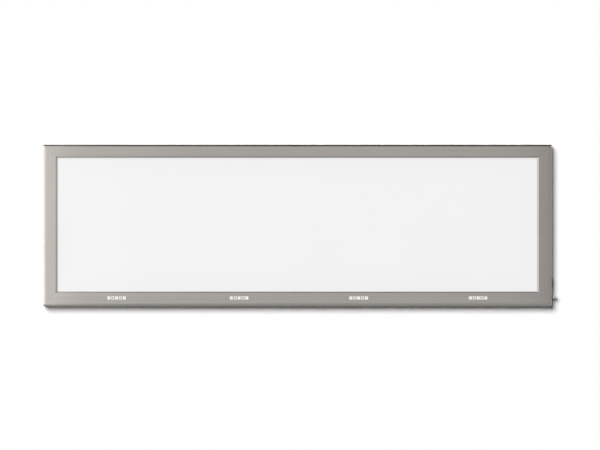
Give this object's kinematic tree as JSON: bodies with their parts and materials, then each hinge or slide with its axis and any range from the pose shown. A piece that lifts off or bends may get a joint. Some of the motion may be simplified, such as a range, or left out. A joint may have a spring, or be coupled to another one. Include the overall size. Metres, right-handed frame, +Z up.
{
  "type": "x-ray film viewer",
  "caption": "Wall-mounted film viewer: a wide opal lit screen in a mitred aluminium frame, with film grips, touch keys, a mains rocker and a fuse.",
  "frame": {"origin": "midway between the two keyholes' round entries, in the plane of the hanger plates' rear faces", "axes": "+X to the right of someone facing the screen, +Y into the wall, +Z up"},
  "size_m": [1.6555, 0.0408, 0.52],
  "materials": {
    "anodised_aluminium": "brushed, satin anodised",
    "mill_aluminium": "mill finish",
    "plated_steel": "zinc plated",
    "dark_screws": "black, satin",
    "panel_paint": "light grey powder coat",
    "opal_acrylic": "opal, satin, lit from behind",
    "clear_acrylic": "clear, polished edges",
    "white_film": "white, matt",
    "foam": "closed-cell foam",
    "strip_board": "white solder mask with warm chips",
    "green_board": "green solder mask",
    "blue_board": "blue solder mask",
    "tan_board": "tan laminate",
    "white_keys": "white, satin",
    "grey_centre_keys": "white, with a sunk grey centre",
    "black_plastic": "black, fine matt",
    "black_gloss": "black, semi-gloss",
    "grey_knob": "mid grey",
    "cheek_plastic": "off-white",
    "roller_sleeve": "pale, matt",
    "bumper_rubber": "black, matt",
    "brass": "nickel-free, plain",
    "fuse_metal": "bright caps on a glass tube",
    "cable_sheath": "dark grey sheath"
  },
  "bodies": {
    "viewer": {"frame_top": "anodised_aluminium", "frame_bottom": "anodised_aluminium", "frame_left": "anodised_aluminium", "frame_right": "anodised_aluminium", "corner_brackets": "mill_aluminium", "frame_screws": "plated_steel", "diffuser_screen": "opal_acrylic", "screen_seals": "foam", "light_guides": "clear_acrylic", "bank_dividers": "white_film", "reflector_sheet": "white_film", "light_tray": "mill_aluminium", "led_strips": "strip_board", "roller_cheeks": "cheek_plastic", "key_boards": "green_board", "key_switches": "black_plastic", "key_board_screws": "plated_steel", "standoffs": "brass", "power_supply_case": "plated_steel", "power_supply_board": "tan_board", "dimmer_board": "blue_board", "mains_inlet": "black_plastic", "switch_housing": "black_plastic", "fuse_holder": "black_plastic", "wiring": "cable_sheath", "back_panel": "panel_paint", "back_panel_screws": "dark_screws", "hanger_plates": "plated_steel", "wall_bumpers": "bumper_rubber"},
    "bank_1_on_off_button": {"bank_1_on_off_key": "white_keys"},
    "bank_1_dim_button": {"bank_1_dim_key": "grey_centre_keys"},
    "bank_1_preset_button": {"bank_1_preset_key": "white_keys"},
    "bank_1_bright_button": {"bank_1_bright_key": "grey_centre_keys"},
    "bank_1_auto_button": {"bank_1_auto_key": "white_keys"},
    "bank_2_on_off_button": {"bank_2_on_off_key": "white_keys"},
    "bank_2_dim_button": {"bank_2_dim_key": "grey_centre_keys"},
    "bank_2_preset_button": {"bank_2_preset_key": "white_keys"},
    "bank_2_bright_button": {"bank_2_bright_key": "grey_centre_keys"},
    "bank_2_auto_button": {"bank_2_auto_key": "white_keys"},
    "bank_3_on_off_button": {"bank_3_on_off_key": "white_keys"},
    "bank_3_dim_button": {"bank_3_dim_key": "grey_centre_keys"},
    "bank_3_preset_button": {"bank_3_preset_key": "white_keys"},
    "bank_3_bright_button": {"bank_3_bright_key": "grey_centre_keys"},
    "bank_3_auto_button": {"bank_3_auto_key": "white_keys"},
    "bank_4_on_off_button": {"bank_4_on_off_key": "white_keys"},
    "bank_4_dim_button": {"bank_4_dim_key": "grey_centre_keys"},
    "bank_4_preset_button": {"bank_4_preset_key": "white_keys"},
    "bank_4_bright_button": {"bank_4_bright_key": "grey_centre_keys"},
    "bank_4_auto_button": {"bank_4_auto_key": "white_keys"},
    "grip_axle_1": {"roller_axle_1": "plated_steel"},
    "grip_roller_1": {"film_roller_1": "roller_sleeve"},
    "grip_axle_2": {"roller_axle_2": "plated_steel"},
    "grip_roller_2": {"film_roller_2": "roller_sleeve"},
    "grip_axle_3": {"roller_axle_3": "plated_steel"},
    "grip_roller_3": {"film_roller_3": "roller_sleeve"},
    "grip_axle_4": {"roller_axle_4": "plated_steel"},
    "grip_roller_4": {"film_roller_4": "roller_sleeve"},
    "rocker": {"switch_rocker": "black_gloss"},
    "fuse": {"fuse_link": "fuse_metal"},
    "fuse_knob": {"fuse_cap": "grey_knob"}
  },
  "joints": [
    {"name": "bank_1_on_off_press", "type": "slide", "parent": "viewer", "child": "bank_1_on_off_button", "axis": [0, 1, 0], "range_m": [0, 0.0005], "stiffness_N_per_m": 600},
    {"name": "bank_1_dim_press", "type": "slide", "parent": "viewer", "child": "bank_1_dim_button", "axis": [0, 1, 0], "range_m": [0, 0.0005], "stiffness_N_per_m": 600},
    {"name": "bank_1_preset_press", "type": "slide", "parent": "viewer", "child": "bank_1_preset_button", "axis": [0, 1, 0], "range_m": [0, 0.0005], "stiffness_N_per_m": 600},
    {"name": "bank_1_bright_press", "type": "slide", "parent": "viewer", "child": "bank_1_bright_button", "axis": [0, 1, 0], "range_m": [0, 0.0005], "stiffness_N_per_m": 600},
    {"name": "bank_1_auto_press", "type": "slide", "parent": "viewer", "child": "bank_1_auto_button", "axis": [0, 1, 0], "range_m": [0, 0.0005], "stiffness_N_per_m": 600},
    {"name": "bank_2_on_off_press", "type": "slide", "parent": "viewer", "child": "bank_2_on_off_button", "axis": [0, 1, 0], "range_m": [0, 0.0005], "stiffness_N_per_m": 600},
    {"name": "bank_2_dim_press", "type": "slide", "parent": "viewer", "child": "bank_2_dim_button", "axis": [0, 1, 0], "range_m": [0, 0.0005], "stiffness_N_per_m": 600},
    {"name": "bank_2_preset_press", "type": "slide", "parent": "viewer", "child": "bank_2_preset_button", "axis": [0, 1, 0], "range_m": [0, 0.0005], "stiffness_N_per_m": 600},
    {"name": "bank_2_bright_press", "type": "slide", "parent": "viewer", "child": "bank_2_bright_button", "axis": [0, 1, 0], "range_m": [0, 0.0005], "stiffness_N_per_m": 600},
    {"name": "bank_2_auto_press", "type": "slide", "parent": "viewer", "child": "bank_2_auto_button", "axis": [0, 1, 0], "range_m": [0, 0.0005], "stiffness_N_per_m": 600},
    {"name": "bank_3_on_off_press", "type": "slide", "parent": "viewer", "child": "bank_3_on_off_button", "axis": [0, 1, 0], "range_m": [0, 0.0005], "stiffness_N_per_m": 600},
    {"name": "bank_3_dim_press", "type": "slide", "parent": "viewer", "child": "bank_3_dim_button", "axis": [0, 1, 0], "range_m": [0, 0.0005], "stiffness_N_per_m": 600},
    {"name": "bank_3_preset_press", "type": "slide", "parent": "viewer", "child": "bank_3_preset_button", "axis": [0, 1, 0], "range_m": [0, 0.0005], "stiffness_N_per_m": 600},
    {"name": "bank_3_bright_press", "type": "slide", "parent": "viewer", "child": "bank_3_bright_button", "axis": [0, 1, 0], "range_m": [0, 0.0005], "stiffness_N_per_m": 600},
    {"name": "bank_3_auto_press", "type": "slide", "parent": "viewer", "child": "bank_3_auto_button", "axis": [0, 1, 0], "range_m": [0, 0.0005], "stiffness_N_per_m": 600},
    {"name": "bank_4_on_off_press", "type": "slide", "parent": "viewer", "child": "bank_4_on_off_button", "axis": [0, 1, 0], "range_m": [0, 0.0005], "stiffness_N_per_m": 600},
    {"name": "bank_4_dim_press", "type": "slide", "parent": "viewer", "child": "bank_4_dim_button", "axis": [0, 1, 0], "range_m": [0, 0.0005], "stiffness_N_per_m": 600},
    {"name": "bank_4_preset_press", "type": "slide", "parent": "viewer", "child": "bank_4_preset_button", "axis": [0, 1, 0], "range_m": [0, 0.0005], "stiffness_N_per_m": 600},
    {"name": "bank_4_bright_press", "type": "slide", "parent": "viewer", "child": "bank_4_bright_button", "axis": [0, 1, 0], "range_m": [0, 0.0005], "stiffness_N_per_m": 600},
    {"name": "bank_4_auto_press", "type": "slide", "parent": "viewer", "child": "bank_4_auto_button", "axis": [0, 1, 0], "range_m": [0, 0.0005], "stiffness_N_per_m": 600},
    {"name": "grip_1_lift", "type": "slide", "parent": "viewer", "child": "grip_axle_1", "axis": [0, -0.309, 0.9511], "range_m": [0, 0.004]},
    {"name": "grip_1_roll", "type": "hinge", "parent": "grip_axle_1", "child": "grip_roller_1", "pos_m": [-0.57975, -0.0318, 0.023], "axis": [1, 0, 0], "continuous": true},
    {"name": "grip_2_lift", "type": "slide", "parent": "viewer", "child": "grip_axle_2", "axis": [0, -0.309, 0.9511], "range_m": [0, 0.004]},
    {"name": "grip_2_roll", "type": "hinge", "parent": "grip_axle_2", "child": "grip_roller_2", "pos_m": [-0.19325, -0.0318, 0.023], "axis": [1, 0, 0], "continuous": true},
    {"name": "grip_3_lift", "type": "slide", "parent": "viewer", "child": "grip_axle_3", "axis": [0, -0.309, 0.9511], "range_m": [0, 0.004]},
    {"name": "grip_3_roll", "type": "hinge", "parent": "grip_axle_3", "child": "grip_roller_3", "pos_m": [0.19325, -0.0318, 0.023], "axis": [1, 0, 0], "continuous": true},
    {"name": "grip_4_lift", "type": "slide", "parent": "viewer", "child": "grip_axle_4", "axis": [0, -0.309, 0.9511], "range_m": [0, 0.004]},
    {"name": "grip_4_roll", "type": "hinge", "parent": "grip_axle_4", "child": "grip_roller_4", "pos_m": [0.57975, -0.0318, 0.023], "axis": [1, 0, 0], "continuous": true},
    {"name": "mains_switch_tilt", "type": "hinge", "parent": "viewer", "child": "rocker", "pos_m": [0.816, -0.018, -0.389], "axis": [0, -1, 0], "range_deg": [0, 16]},
    {"name": "fuse_pull", "type": "slide", "parent": "viewer", "child": "fuse", "axis": [1, 0, 0], "range_m": [0, 0.035]},
    {"name": "fuse_cap_turn", "type": "hinge", "parent": "fuse", "child": "fuse_knob", "pos_m": [0.82, -0.018, -0.432], "axis": [1, 0, 0], "range_deg": [0, 90]}
  ]
}
